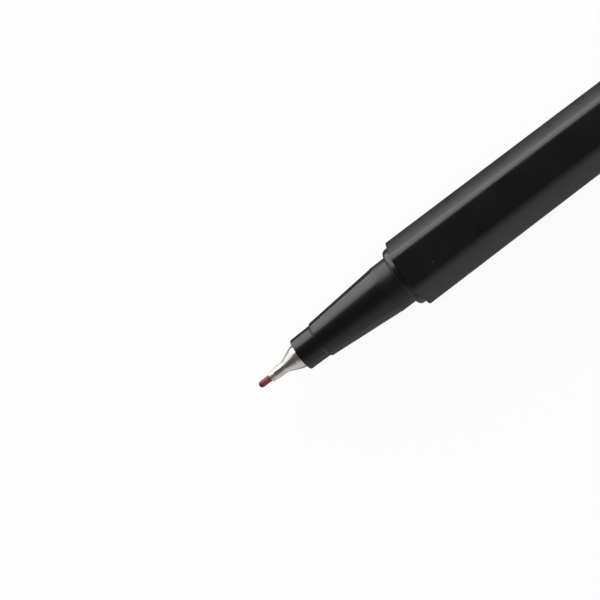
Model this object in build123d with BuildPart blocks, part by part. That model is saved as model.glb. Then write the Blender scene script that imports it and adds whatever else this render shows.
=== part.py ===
from build123d import *
import os
from math import tan, radians

# A hexagonal fineliner pen that lies on one flat of its barrel, with its cap posted on the rear end.
# +X runs along the pen from the writing point to the rear, and +Z is up.
# The origin is the middle of the pen's footprint on the table. Sizes are in millimetres.

# Gaps between mating pieces, on the radius or along the pen
PRESS_GAP = 0.01
GUIDE_GAP = 0.05
CAP_GAP = 0.05
END_GAP = 0.10

# Writing tip: a plastic rod with a star of ink channels along its middle
TIP_D = 0.86
TIP_LENGTH = 31.0
TIP_PROUD = 1.73
TIP_TAIL_CHAMFER = 0.12
CHANNEL_WIDTH = 0.06
CHANNEL_SPAN = 0.50
CHANNEL_BARS = 3

# Metal adapter: a drawn sleeve, crimped on the tip and pressed into the grip section
CRIMP_LENGTH = 0.64
CRIMP_WALL = 0.19
CRIMP_SHOULDER = 0.10
TUBE_LENGTH = 1.50
TUBE_WALL = 0.21
TUBE_AIR_GAP = 0.07
FLARE_LENGTH = 1.95
FLARE_ROUND = 1.60
SHANK_D = 3.12
SHANK_PROUD = 0.55
SHANK_SEAT = 4.60
SHANK_WALL = 0.25
CRIMP_CHAMFER = 0.10

# Grip section: nose, step, tapered grip, land for the cap, collar, and the spigot in the barrel
NOSE_D = 4.30
NOSE_LENGTH = 2.86
NOSE_SWELL = 0.05
NOSE_CHAMFER = 0.18
STEP_LENGTH = 0.31
STEP_HEIGHT = 0.20
GRIP_LENGTH = 9.94
LAND_D = 6.46
LAND_LENGTH = 2.29
LAND_STEP = 0.04
COLLAR_LENGTH = 0.97
COLLAR_HEIGHT = 0.73
COLLAR_ROUND = 0.50
SPIGOT_LENGTH = 9.0
SPIGOT_CHAMFER = 0.30
BEAD_HEIGHT = 0.09
BEAD_LENGTH = 0.90
BEAD_SETBACK = 3.0
GUIDE_LENGTH = 2.0
GUIDE_SLOT_WIDTH = 0.50
GUIDE_SLOT_DEPTH = 0.25
AIR_CHAMBER_FRONT_D = 2.60
RESERVOIR_STOP = 0.40
SOCKET_LENGTH = 5.0
SOCKET_SLOT_WIDTH = 0.80
SOCKET_SLOT_DEPTH = 0.25
SOCKET_SLOT_LEAD = 1.0
AIR_SLOT_BARS = 2

# Barrel: a moulded hexagonal tube that narrows a little towards the rear
FLATS_FRONT = 8.28
BARREL_LENGTH = 106.0
BARREL_DRAFT = 0.25
BARREL_WALL = 0.80
CORNER_ROUND = 1.15
RIM_CHAMFER = 0.18
BORE_STEP = 0.10
RIB_COUNT = 6
RIB_WIDTH = 0.60
RIB_HEIGHT = 0.25

# Ink reservoir: a bonded fibre rod in a film wrap
WRAP_THICKNESS = 0.08

# End plug, with the post that carries the cap
POST_LENGTH = 7.0
POST_CHAMFER = 0.80
PLUG_SEAT = 7.0
PLUG_WALL = 0.75
PLUG_END_WALL = 1.20
PLUG_SLOT_WIDTH = 0.90
PLUG_SLOT_LENGTH = 2.5
PLUG_SLOT_COUNT = 3

# Cap: shell with clip, inner liner that seals the nose, and vented crown
CAP_LENGTH = 40.0
CAP_WALL = 0.72
CAP_MOUTH_CHAMFER = 0.25
CAP_LEAD_IN = 0.30
LINER_SEAL_GAP = 0.02
LINER_STEP_GAP = 0.20
LINER_TIP_ROOM = 2.0
LINER_END_WALL = 0.60
LINER_FLANGE = 0.80
LINER_SHOULDER = 0.20
LINER_RIB_HEIGHT = 0.15
LINER_RIB_WIDTH = 0.70
LINER_NOTCH_WIDTH = 1.0
LINER_NOTCH_DEPTH = 0.35
VENT_COUNT = 3
CROWN_SEAT = 4.0
CROWN_EDGE = 0.60
CROWN_CHAMFER = 0.60
CROWN_WALL = 0.75
CROWN_VENT_WIDTH = 1.0
CROWN_VENT_DEPTH = 0.35
CLIP_WIDTH = 3.3
CLIP_TIP_WIDTH = 2.5
CLIP_TIP_CORNER = 0.70
CLIP_THICKNESS = 1.05
CLIP_GAP = 1.15
CLIP_TIP_GAP = 0.15
CLIP_SETBACK = 6.0
CLIP_ROOT_LENGTH = 4.6
CLIP_ROOT_INSET = 0.7
CLIP_BUMP_LENGTH = 2.0
CLIP_RAMP_LENGTH = 1.8
CLIP_ROOT_SINK = 0.45
CLIP_HEEL_CHAMFER = 1.1
CLIP_NOSE_ROUND = 0.7
CLIP_THROAT_ROUND = 0.45
CLIP_EDGE_ROUND = 0.28

# Stations along the pen, measured from the writing point
crimp_front = TIP_PROUD
tube_front = crimp_front + CRIMP_LENGTH
flare_front = tube_front + TUBE_LENGTH
shank_front = flare_front + FLARE_LENGTH
nose_front = shank_front + SHANK_PROUD
shank_rear = nose_front + SHANK_SEAT
guide_rear = shank_rear + END_GAP + GUIDE_LENGTH
step_front = nose_front + NOSE_LENGTH
grip_front = step_front + STEP_LENGTH
land_front = grip_front + GRIP_LENGTH
collar_front = land_front + LAND_LENGTH
barrel_front = collar_front + COLLAR_LENGTH
spigot_rear = barrel_front + SPIGOT_LENGTH
socket_front = spigot_rear - SOCKET_LENGTH
bead_middle = barrel_front + BEAD_SETBACK
barrel_rear = barrel_front + BARREL_LENGTH
plug_front = barrel_rear - PLUG_SEAT
post_rear = barrel_rear + POST_LENGTH
reservoir_front = socket_front + END_GAP
reservoir_rear = plug_front - END_GAP
cap_mouth = barrel_rear + END_GAP
liner_front = cap_mouth + collar_front - step_front + LINER_STEP_GAP
liner_shoulder = liner_front + LINER_FLANGE
liner_rear = cap_mouth + collar_front + LINER_TIP_ROOM + LINER_END_WALL
cap_rear = cap_mouth + CAP_LENGTH
crown_rear = cap_rear + CROWN_EDGE + CROWN_CHAMFER

# Radii that follow from the sizes above
tip_r = TIP_D / 2
crimp_r = tip_r + PRESS_GAP + CRIMP_WALL
tube_bore_r = tip_r + TUBE_AIR_GAP
tube_r = tube_bore_r + TUBE_WALL
shank_r = SHANK_D / 2
nose_r = NOSE_D / 2
nose_rear_r = nose_r + NOSE_SWELL
grip_front_r = nose_rear_r + STEP_HEIGHT
land_r = LAND_D / 2
grip_rear_r = land_r - LAND_STEP
collar_r = land_r + COLLAR_HEIGHT
flats_rear = FLATS_FRONT - 2 * BARREL_LENGTH * tan(radians(BARREL_DRAFT))
seat_r = FLATS_FRONT / 2 - BARREL_WALL
spigot_r = seat_r - PRESS_GAP
bore_rear_r = flats_rear / 2 - BARREL_WALL
rib_r = bore_rear_r - RIB_HEIGHT
wrap_r = rib_r - GUIDE_GAP
reservoir_r = wrap_r - WRAP_THICKNESS
guide_r = tip_r + GUIDE_GAP
socket_r = wrap_r + GUIDE_GAP
chamber_r = socket_r - RESERVOIR_STOP
plug_r = bore_rear_r - PRESS_GAP
cap_bore_r = land_r + CAP_GAP
cap_r = cap_bore_r + CAP_WALL
liner_bore_r = cap_bore_r - LINER_SHOULDER
liner_r = liner_bore_r - LINER_RIB_HEIGHT - PRESS_GAP
liner_inner_r = nose_rear_r + LINER_SEAL_GAP
crown_r = liner_bore_r - PRESS_GAP
clip_under_r = cap_r + CLIP_GAP
clip_top_r = clip_under_r + CLIP_THICKNESS

# The pen's own planes: along it, with its radius upwards, and across it at a station
TIP_X = -crown_rear / 2
AXIS_HEIGHT = FLATS_FRONT / 2
PEN_AXIS = Axis((TIP_X, 0, AXIS_HEIGHT), (1, 0, 0))
ALONG = Plane(origin=(TIP_X, 0, AXIS_HEIGHT), x_dir=(1, 0, 0), z_dir=(0, -1, 0))
FROM_ABOVE = Plane(origin=(TIP_X, 0, AXIS_HEIGHT), x_dir=(1, 0, 0), z_dir=(0, 0, 1))


def across(station):
    """The plane square to the pen at a station, facing the rear, with its own Y upwards."""
    return Plane(origin=(TIP_X + station, 0, AXIS_HEIGHT), x_dir=(0, 1, 0), z_dir=(1, 0, 0))


def bead_outline(radius):
    """The snap bead's side outline from rear to front, on a wall of the given radius."""
    return (
        (bead_middle + BEAD_LENGTH / 2, radius),
        (bead_middle, radius + BEAD_HEIGHT),
        (bead_middle - BEAD_LENGTH / 2, radius),
    )


# Writing tip: round point, straight rod, chamfered tail in the reservoir
with BuildPart() as writing_tip:
    with BuildSketch(ALONG):
        with BuildLine():
            CenterArc((tip_r, 0), tip_r, 90, 90)
            Polyline(
                (0, 0),
                (TIP_LENGTH, 0),
                (TIP_LENGTH, tip_r - TIP_TAIL_CHAMFER),
                (TIP_LENGTH - TIP_TAIL_CHAMFER, tip_r),
                (tip_r, tip_r),
            )
        make_face()
    revolve(axis=PEN_AXIS)
    with BuildSketch(across(0)):
        with PolarLocations(0, CHANNEL_BARS, angular_range=180):
            Rectangle(CHANNEL_SPAN, CHANNEL_WIDTH)
    extrude(amount=TIP_LENGTH, mode=Mode.SUBTRACT)

# Metal adapter: crimped front, tube, flare with a soft throat, shank
with BuildPart() as metal_adapter:
    with BuildSketch(ALONG):
        with BuildLine():
            Polyline(
                (crimp_front, 0),
                (crimp_front, crimp_r),
                (tube_front, crimp_r),
                (tube_front + CRIMP_SHOULDER, tube_r),
                (flare_front, tube_r),
                (shank_front, shank_r),
                (shank_rear, shank_r),
                (shank_rear, 0),
                close=True,
            )
        make_face()
        chamfer(vertices().sort_by_distance((crimp_front, crimp_r))[0], CRIMP_CHAMFER)
        fillet(vertices().sort_by_distance((flare_front, tube_r))[0], FLARE_ROUND)
    revolve(axis=PEN_AXIS)
    with BuildSketch(ALONG):
        with BuildLine():
            Polyline(
                (crimp_front, 0),
                (crimp_front, tip_r + PRESS_GAP),
                (tube_front + CRIMP_SHOULDER, tip_r + PRESS_GAP),
                (tube_front + 2 * CRIMP_SHOULDER, tube_bore_r),
                (flare_front, tube_bore_r),
                (shank_front + SHANK_WALL / 2, shank_r - SHANK_WALL),
                (shank_rear, shank_r - SHANK_WALL),
                (shank_rear, 0),
                close=True,
            )
        make_face()
    revolve(axis=PEN_AXIS, mode=Mode.SUBTRACT)

# Grip section: its outside with the snap bead on the spigot, then the stepped bore and air ways
with BuildPart() as grip_section:
    with BuildSketch(ALONG):
        with BuildLine():
            Polyline(
                (grip_front, grip_front_r),
                (step_front, nose_rear_r),
                (nose_front, nose_r),
                (nose_front, 0),
                (spigot_rear, 0),
                (spigot_rear, spigot_r - SPIGOT_CHAMFER),
                (spigot_rear - SPIGOT_CHAMFER, spigot_r),
                *bead_outline(spigot_r),
                (barrel_front, spigot_r),
                (barrel_front, collar_r),
                (collar_front, collar_r),
                (collar_front, land_r),
                (land_front, land_r),
                (land_front - LAND_STEP, grip_rear_r),
                close=True,
            )
        make_face()
        chamfer(vertices().sort_by_distance((nose_front, nose_r))[0], NOSE_CHAMFER)
        fillet(vertices().sort_by_distance((collar_front, collar_r))[0], COLLAR_ROUND)
    revolve(axis=PEN_AXIS)
    with BuildSketch(ALONG):
        with BuildLine():
            Polyline(
                (nose_front, 0),
                (nose_front, shank_r + PRESS_GAP),
                (shank_rear + END_GAP, shank_r + PRESS_GAP),
                (shank_rear + END_GAP, guide_r),
                (guide_rear, guide_r),
                (guide_rear, AIR_CHAMBER_FRONT_D / 2),
                (collar_front, chamber_r),
                (socket_front, chamber_r),
                (socket_front, socket_r),
                (spigot_rear, socket_r),
                (spigot_rear, 0),
                close=True,
            )
        make_face()
    revolve(axis=PEN_AXIS, mode=Mode.SUBTRACT)
    with BuildSketch(across(shank_rear)):
        with PolarLocations(0, AIR_SLOT_BARS, angular_range=180):
            Rectangle(2 * (guide_r + GUIDE_SLOT_DEPTH), GUIDE_SLOT_WIDTH)
    extrude(amount=guide_rear - shank_rear, mode=Mode.SUBTRACT)
    with BuildSketch(across(socket_front - SOCKET_SLOT_LEAD)):
        with PolarLocations(0, AIR_SLOT_BARS, angular_range=180):
            Rectangle(2 * (socket_r + SOCKET_SLOT_DEPTH), SOCKET_SLOT_WIDTH)
    extrude(amount=SOCKET_SLOT_LEAD + SOCKET_LENGTH, mode=Mode.SUBTRACT)

# Barrel: drafted hexagon with soft rims, the bore with its bead groove, and centring ribs
with BuildPart() as barrel:
    with BuildSketch(across(barrel_front)):
        RegularPolygon(FLATS_FRONT / 2, 6, major_radius=False)
    extrude(amount=BARREL_LENGTH)
    draft(faces().sort_by(Axis.X)[1:-1], across(barrel_front), BARREL_DRAFT)
    chamfer(faces().sort_by(Axis.X)[0].edges() + faces().sort_by(Axis.X)[-1].edges(), RIM_CHAMFER)
    fillet(edges().sort_by(SortBy.LENGTH)[-6:], CORNER_ROUND)
    with BuildSketch(ALONG):
        with BuildLine():
            Polyline(
                (barrel_front, seat_r),
                (barrel_front, 0),
                (barrel_rear, 0),
                (barrel_rear, bore_rear_r),
                (plug_front, bore_rear_r),
                (spigot_rear + END_GAP, seat_r - BORE_STEP),
                (spigot_rear + END_GAP, seat_r),
                *bead_outline(seat_r),
                close=True,
            )
        make_face()
    revolve(axis=PEN_AXIS, mode=Mode.SUBTRACT)
    with BuildSketch(across(spigot_rear + END_GAP)):
        with PolarLocations((rib_r + seat_r) / 2, RIB_COUNT, start_angle=30):
            Rectangle(seat_r - rib_r, RIB_WIDTH)
    extrude(amount=plug_front - spigot_rear - END_GAP)

# Ink reservoir: fibre rod with the pocket that the tip's tail is pushed into
with BuildPart() as ink_reservoir:
    with BuildSketch(across(reservoir_front)):
        Circle(reservoir_r)
    extrude(amount=reservoir_rear - reservoir_front)
    with BuildSketch(across(reservoir_front)):
        Circle(tip_r + PRESS_GAP)
    extrude(amount=TIP_LENGTH + END_GAP - reservoir_front, mode=Mode.SUBTRACT)

# Film wrap, cut flush with the fibre at both ends
with BuildPart() as reservoir_wrap:
    with BuildSketch(across(reservoir_front)):
        Circle(wrap_r)
        Circle(reservoir_r, mode=Mode.SUBTRACT)
    extrude(amount=reservoir_rear - reservoir_front)

# End plug: cored spigot in the barrel, slotted for air, and the round post for the cap
with BuildPart() as end_plug:
    with BuildSketch(ALONG):
        with BuildLine():
            Polyline(
                (plug_front, 0),
                (plug_front, plug_r),
                (barrel_rear, plug_r),
                (barrel_rear, land_r),
                (post_rear, land_r),
                (post_rear, 0),
                close=True,
            )
        make_face()
        chamfer(vertices().sort_by_distance((post_rear, land_r))[0], POST_CHAMFER)
    revolve(axis=PEN_AXIS)
    with BuildSketch(across(plug_front)):
        Circle(plug_r - PLUG_WALL)
    extrude(amount=post_rear - PLUG_END_WALL - plug_front, mode=Mode.SUBTRACT)
    with BuildSketch(across(plug_front)):
        with PolarLocations(plug_r, PLUG_SLOT_COUNT):
            Rectangle(3 * PLUG_WALL, PLUG_SLOT_WIDTH)
    extrude(amount=PLUG_SLOT_LENGTH, mode=Mode.SUBTRACT)

# Clip: bent side outline, narrowed towards its tip, with softened upper edges
clip_tip = cap_mouth + CLIP_SETBACK
clip_heel = cap_rear - CLIP_ROOT_INSET
clip_root = clip_heel - CLIP_ROOT_LENGTH
clip_foot_r = cap_r - CLIP_ROOT_SINK
clip_bump_r = cap_r + CLIP_TIP_GAP
with BuildPart() as clip:
    with BuildSketch(ALONG):
        with BuildLine():
            Polyline(
                (clip_heel, clip_foot_r),
                (clip_heel, clip_top_r),
                (clip_tip, clip_top_r),
                (clip_tip, clip_bump_r),
                (clip_tip + CLIP_BUMP_LENGTH, clip_bump_r),
                (clip_tip + CLIP_BUMP_LENGTH + CLIP_RAMP_LENGTH, clip_under_r),
                (clip_root, clip_under_r),
                (clip_root, clip_foot_r),
                close=True,
            )
        make_face()
        chamfer(vertices().sort_by_distance((clip_heel, clip_top_r))[0], CLIP_HEEL_CHAMFER)
        fillet(vertices().sort_by_distance((clip_tip, clip_bump_r))[0], CLIP_NOSE_ROUND)
        fillet(vertices().sort_by_distance((clip_root, clip_under_r))[0], CLIP_THROAT_ROUND)
    extrude(amount=CLIP_WIDTH / 2, both=True)
    with BuildSketch(FROM_ABOVE):
        with BuildLine():
            Polyline(
                (clip_tip, CLIP_TIP_WIDTH / 2),
                (clip_root, CLIP_WIDTH / 2),
                (clip_heel, CLIP_WIDTH / 2),
                (clip_heel, -CLIP_WIDTH / 2),
                (clip_root, -CLIP_WIDTH / 2),
                (clip_tip, -CLIP_TIP_WIDTH / 2),
                close=True,
            )
        make_face()
        chamfer(vertices().sort_by(Axis.X)[:2], CLIP_TIP_CORNER)
    extrude(amount=2 * clip_top_r, mode=Mode.INTERSECT)
    fillet(faces().sort_by(Axis.Z)[-1].edges(), CLIP_EDGE_ROUND)

# Cap shell: tube with the clip, then the stepped bore with a lead-in at the mouth, and the liner's ribs
with BuildPart() as cap_shell:
    with BuildSketch(ALONG):
        with BuildLine():
            Polyline(
                (cap_mouth, 0),
                (cap_mouth, cap_r),
                (cap_rear, cap_r),
                (cap_rear, 0),
                close=True,
            )
        make_face()
        chamfer(vertices().sort_by_distance((cap_mouth, cap_r))[0], CAP_MOUTH_CHAMFER)
    revolve(axis=PEN_AXIS)
    add(clip.part)
    with BuildSketch(ALONG):
        with BuildLine():
            Polyline(
                (cap_mouth, 0),
                (cap_mouth, cap_bore_r + CAP_LEAD_IN),
                (cap_mouth + CAP_LEAD_IN, cap_bore_r),
                (liner_shoulder, cap_bore_r),
                (liner_shoulder, liner_bore_r),
                (cap_rear, liner_bore_r),
                (cap_rear, 0),
                close=True,
            )
        make_face()
    revolve(axis=PEN_AXIS, mode=Mode.SUBTRACT)
    with BuildSketch(across(liner_shoulder)):
        with PolarLocations(liner_bore_r, RIB_COUNT, start_angle=30):
            Rectangle(2 * LINER_RIB_HEIGHT, LINER_RIB_WIDTH)
    extrude(amount=liner_rear - liner_shoulder)

# Cap liner: sealing cup with a notched flange that stops on the shell's shoulder
with BuildPart() as cap_liner:
    with BuildSketch(ALONG):
        with BuildLine():
            Polyline(
                (liner_front, liner_inner_r),
                (liner_front, cap_bore_r - PRESS_GAP),
                (liner_shoulder, cap_bore_r - PRESS_GAP),
                (liner_shoulder, liner_r),
                (liner_rear, liner_r),
                (liner_rear, 0),
                (liner_rear - LINER_END_WALL, 0),
                (liner_rear - LINER_END_WALL, liner_inner_r),
                close=True,
            )
        make_face()
    revolve(axis=PEN_AXIS)
    with BuildSketch(across(liner_front)):
        with PolarLocations(cap_bore_r, VENT_COUNT):
            Rectangle(2 * LINER_NOTCH_DEPTH, LINER_NOTCH_WIDTH)
    extrude(amount=LINER_FLANGE, mode=Mode.SUBTRACT)

# Cap crown: chamfered head, cored spigot in the shell, and vents past the spigot and through the head
with BuildPart() as cap_crown:
    with BuildSketch(ALONG):
        with BuildLine():
            Polyline(
                (crown_rear, cap_r),
                (cap_rear, cap_r),
                (cap_rear, crown_r),
                (cap_rear - CROWN_SEAT, crown_r),
                (cap_rear - CROWN_SEAT, 0),
                (crown_rear, 0),
                close=True,
            )
        make_face()
        chamfer(vertices().sort_by_distance((crown_rear, cap_r))[0], CROWN_CHAMFER)
    revolve(axis=PEN_AXIS)
    with BuildSketch(across(cap_rear - CROWN_SEAT)):
        Circle(crown_r - CROWN_WALL)
    extrude(amount=CROWN_SEAT, mode=Mode.SUBTRACT)
    with BuildSketch(across(cap_rear - CROWN_SEAT)):
        with PolarLocations(crown_r, VENT_COUNT):
            Rectangle(2 * CROWN_VENT_DEPTH, CROWN_VENT_WIDTH)
    extrude(amount=crown_rear - cap_rear + CROWN_SEAT, mode=Mode.SUBTRACT)

# One file for each piece, named for the piece
pieces = {
    "writing_tip": writing_tip,
    "metal_adapter": metal_adapter,
    "grip_section": grip_section,
    "barrel": barrel,
    "ink_reservoir": ink_reservoir,
    "reservoir_wrap": reservoir_wrap,
    "end_plug": end_plug,
    "cap_shell": cap_shell,
    "cap_liner": cap_liner,
    "cap_crown": cap_crown,
}
os.makedirs("parts", exist_ok=True)
for name, piece in pieces.items():
    piece.part.label = name
    export_step(piece.part, f"parts/{name}.step")
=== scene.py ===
import math

import bmesh
import bpy
from mathutils import Euler, Matrix, Vector


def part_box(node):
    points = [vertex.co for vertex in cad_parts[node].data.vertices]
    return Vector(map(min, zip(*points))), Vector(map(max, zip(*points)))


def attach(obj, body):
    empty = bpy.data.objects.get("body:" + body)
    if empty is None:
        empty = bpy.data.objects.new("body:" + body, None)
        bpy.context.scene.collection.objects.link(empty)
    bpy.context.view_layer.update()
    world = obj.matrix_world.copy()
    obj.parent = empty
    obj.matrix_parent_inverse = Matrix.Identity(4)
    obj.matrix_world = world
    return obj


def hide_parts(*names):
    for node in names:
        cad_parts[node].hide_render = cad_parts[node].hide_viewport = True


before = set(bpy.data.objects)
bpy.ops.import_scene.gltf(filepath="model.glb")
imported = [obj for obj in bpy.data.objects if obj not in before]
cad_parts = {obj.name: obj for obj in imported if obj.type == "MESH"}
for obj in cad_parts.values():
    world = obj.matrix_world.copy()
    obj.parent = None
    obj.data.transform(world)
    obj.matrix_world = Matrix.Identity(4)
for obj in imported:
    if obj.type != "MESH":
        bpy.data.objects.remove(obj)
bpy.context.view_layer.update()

# A hexagonal fineliner pen that lies on the table with its cap posted on the rear end.
# Everything is in metres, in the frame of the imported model: +X runs from the writing point to the rear.
MM = 0.001


def reach(node):
    """First and last station of a node along the pen, and its half width across it."""
    low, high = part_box(node)
    return low.x, high.x, (high.y - low.y) / 2


# Places and radii that the frame gives
tip_front, tip_rear, tip_r = reach("writing_tip")
crimp_front, shank_rear, shank_r = reach("metal_adapter")
nose_front, spigot_rear, collar_r = reach("grip_section")
barrel_front, barrel_rear, _ = reach("barrel")
plug_front, post_rear, post_r = reach("end_plug")
cap_mouth, cap_rear, cap_r = reach("cap_shell")
crown_seat, crown_rear, _ = reach("cap_crown")
liner_front, liner_rear, _ = reach("cap_liner")
reservoir_front, _, wrap_r = reach("reservoir_wrap")
barrel_low, barrel_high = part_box("barrel")
axis_height = (barrel_low.z + barrel_high.z) / 2
half_flats = barrel_high.z - axis_height
clip_top_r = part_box("cap_shell")[1].z - axis_height

# Gaps between mating pieces
PRESS_GAP = 0.01 * MM
GUIDE_GAP = 0.05 * MM
CAP_GAP = 0.05 * MM
END_GAP = 0.10 * MM

# Meshing: how far cutters run past a piece, which points are welded, and which edges stay sharp
OVERRUN = 1.0 * MM
WELD = 0.0005 * MM
SHARP_ANGLE = math.radians(32)

# Writing tip
TIP_TAIL_ROUND = 0.12 * MM
CHANNEL_WIDTH = 0.06 * MM
CHANNEL_SPAN = 0.50 * MM
CHANNEL_BARS = 3

# Metal sleeve
CRIMP_LENGTH = 0.64 * MM
CRIMP_WALL = 0.19 * MM
CRIMP_SHOULDER = 0.10 * MM
CRIMP_ROUND = 0.12 * MM
CRIMP_REAR_ROUND = 0.05 * MM
TUBE_LENGTH = 1.50 * MM
TUBE_WALL = 0.21 * MM
TUBE_AIR_GAP = 0.07 * MM
TUBE_FRONT_ROUND = 0.08 * MM
FLARE_LENGTH = 1.95 * MM
FLARE_ROUND = 1.60 * MM
SHANK_ROUND = 1.80 * MM
SHANK_END_ROUND = 0.05 * MM
SHANK_WALL = 0.25 * MM
crimp_r = tip_r + PRESS_GAP + CRIMP_WALL
tube_bore_r = tip_r + TUBE_AIR_GAP
tube_r = tube_bore_r + TUBE_WALL
tube_front = crimp_front + CRIMP_LENGTH
flare_front = tube_front + TUBE_LENGTH
shank_front = flare_front + FLARE_LENGTH

# Grip section
NOSE_R = 2.15 * MM
NOSE_LENGTH = 2.86 * MM
NOSE_SWELL = 0.05 * MM
NOSE_ROUND = 0.12 * MM
STEP_LENGTH = 0.31 * MM
STEP_HEIGHT = 0.20 * MM
STEP_ROOT_ROUND = 0.03 * MM
STEP_EDGE_ROUND = 0.04 * MM
LAND_LENGTH = 2.29 * MM
LAND_STEP = 0.04 * MM
COLLAR_LENGTH = 0.97 * MM
COLLAR_ROUND = 0.50 * MM
COLLAR_CORNER = 0.06 * MM
GUIDE_LENGTH = 2.0 * MM
CHAMBER_FRONT_R = 1.30 * MM
RESERVOIR_STOP = 0.40 * MM
SPIGOT_CHAMFER = 0.30 * MM
BEAD_HEIGHT = 0.09 * MM
BEAD_LENGTH = 0.90 * MM
BEAD_SETBACK = 3.0 * MM
AIR_SLOT_BARS = 2
GUIDE_SLOT_WIDTH = 0.50 * MM
GUIDE_SLOT_DEPTH = 0.25 * MM
SOCKET_SLOT_WIDTH = 0.80 * MM
SOCKET_SLOT_DEPTH = 0.25 * MM
SOCKET_SLOT_LEAD = 1.0 * MM
land_r = post_r
nose_rear_r = NOSE_R + NOSE_SWELL
step_front = nose_front + NOSE_LENGTH
grip_front = step_front + STEP_LENGTH
collar_front = barrel_front - COLLAR_LENGTH
land_front = collar_front - LAND_LENGTH
guide_r = tip_r + GUIDE_GAP
guide_rear = shank_rear + END_GAP + GUIDE_LENGTH
socket_r = wrap_r + GUIDE_GAP
socket_front = reservoir_front - END_GAP
chamber_r = socket_r - RESERVOIR_STOP
bead_middle = barrel_front + BEAD_SETBACK

# Barrel
BARREL_DRAFT = math.radians(0.25)
BARREL_WALL = 0.80 * MM
BARREL_AROUND = 288
CORNER_ROUND = 1.15 * MM
FLAT_CROWN = 0.04
RIM_ROUND = 0.15 * MM
RIM_BEND = 0.3 * RIM_ROUND
BORE_STEP = 0.10 * MM
RIB_COUNT = 6
RIB_WIDTH = 0.60 * MM
RIB_HEIGHT = 0.25 * MM
half_flats_rear = half_flats - (barrel_rear - barrel_front) * math.tan(BARREL_DRAFT)
seat_r = half_flats - BARREL_WALL
spigot_r = seat_r - PRESS_GAP
bore_rear_r = half_flats_rear - BARREL_WALL
rib_r = bore_rear_r - RIB_HEIGHT

# End plug
POST_CHAMFER = 0.80 * MM
POST_ROUND = 0.50 * MM
POST_SHOULDER_ROUND = 0.05 * MM
PLUG_LEAD_ROUND = 0.10 * MM
PLUG_WALL = 0.75 * MM
PLUG_END_WALL = 1.20 * MM
PLUG_SLOT_WIDTH = 0.90 * MM
PLUG_SLOT_LENGTH = 2.5 * MM
PLUG_SLOT_COUNT = 3
plug_r = bore_rear_r - PRESS_GAP

# Cap
CAP_MOUTH_ROUND = 0.25 * MM
CAP_LIP_ROUND = 0.05 * MM
CAP_LEAD_IN = 0.30 * MM
CAP_LEAD_ROUND = 0.15 * MM
CAP_REAR_ROUND = 0.08 * MM
LINER_FLANGE = 0.80 * MM
LINER_SHOULDER = 0.20 * MM
LINER_RIB_WIDTH = 0.70 * MM
LINER_RIB_HEIGHT = 0.15 * MM
LINER_RIB_LEAD = 0.05 * MM
CROWN_CHAMFER = 0.60 * MM
CROWN_ROUND = 0.40 * MM
CROWN_LEAD_ROUND = 0.12 * MM
CROWN_WALL = 0.75 * MM
VENT_COUNT = 3
VENT_WIDTH = 1.0 * MM
VENT_DEPTH = 0.35 * MM
cap_bore_r = land_r + CAP_GAP
liner_bore_r = cap_bore_r - LINER_SHOULDER
liner_shoulder = liner_front + LINER_FLANGE
crown_spigot_r = liner_bore_r - PRESS_GAP

# Clip
CLIP_WIDTH = 3.3 * MM
CLIP_TIP_WIDTH = 2.5 * MM
CLIP_THICKNESS = 1.05 * MM
CLIP_TIP_GAP = 0.15 * MM
CLIP_SETBACK = 6.0 * MM
CLIP_ROOT_LENGTH = 4.6 * MM
CLIP_ROOT_INSET = 0.7 * MM
CLIP_ROOT_SINK = 0.45 * MM
CLIP_BUMP_LENGTH = 2.0 * MM
CLIP_RAMP_LENGTH = 1.8 * MM
CLIP_HEEL_ROUND = 1.8 * MM
CLIP_NOSE_ROUND = 0.7 * MM
CLIP_TIP_CORNER = 0.80 * MM
CLIP_THROAT_ROUND = 0.45 * MM
CLIP_EDGE_ROUND = 0.28 * MM
CLIP_FOOT_CORNER = 0.01 * MM
CLIP_EDGE_STEPS = 5
CLIP_TIP_STEPS = 8
CLIP_RAMP_STEPS = 10
CLIP_THROAT_STEPS = 6
CLIP_HEEL_STEPS = 12
clip_tip = cap_mouth + CLIP_SETBACK
clip_heel = cap_rear - CLIP_ROOT_INSET
clip_root = clip_heel - CLIP_ROOT_LENGTH
clip_under_r = clip_top_r - CLIP_THICKNESS
clip_foot_r = cap_r - CLIP_ROOT_SINK
clip_bump_r = cap_r + CLIP_TIP_GAP


# Node helpers

def place(tree, kind, inputs=None, **settings):
    """Adds a node with its settings, and fills its inputs with values or with other nodes' outputs."""
    node = tree.nodes.new(kind)
    for name, value in settings.items():
        setattr(node, name, value)
    for name, value in (inputs or {}).items():
        if isinstance(value, bpy.types.NodeSocket):
            tree.links.new(value, node.inputs[name])
        else:
            node.inputs[name].default_value = value
    return node


def sums(tree, operation, *terms):
    """One Math node on values or other nodes' outputs, and its result."""
    return place(tree, "ShaderNodeMath", dict(enumerate(terms)), operation=operation).outputs[0]


def split(tree, vector):
    """The X, Y and Z of a vector."""
    return place(tree, "ShaderNodeSeparateXYZ", {0: vector}).outputs


def blend(tree, share, first, second, kind="RGBA"):
    """A mix of two colours or values, and its result."""
    mix = place(tree, "ShaderNodeMix", {"Factor": share, "A": first, "B": second}, data_type=kind)
    return mix.outputs["Result"]


def eased(tree, value, start, end):
    """A soft step from 0 to 1 while the value runs from start to end."""
    return place(
        tree, "ShaderNodeMapRange", {"Value": value, "From Min": start, "From Max": end},
        interpolation_type="SMOOTHSTEP",
    ).outputs[0]


def ramp(tree, share, stops):
    """A colour ramp through stops of a position and a colour."""
    node = place(tree, "ShaderNodeValToRGB", {0: share})
    elements = node.color_ramp.elements
    elements.remove(elements[1])
    elements[0].position = stops[0][0]
    elements[0].color = (*stops[0][1], 1)
    for position, colour in stops[1:]:
        elements.new(position).color = (*colour, 1)
    return node.outputs["Color"]


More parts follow.
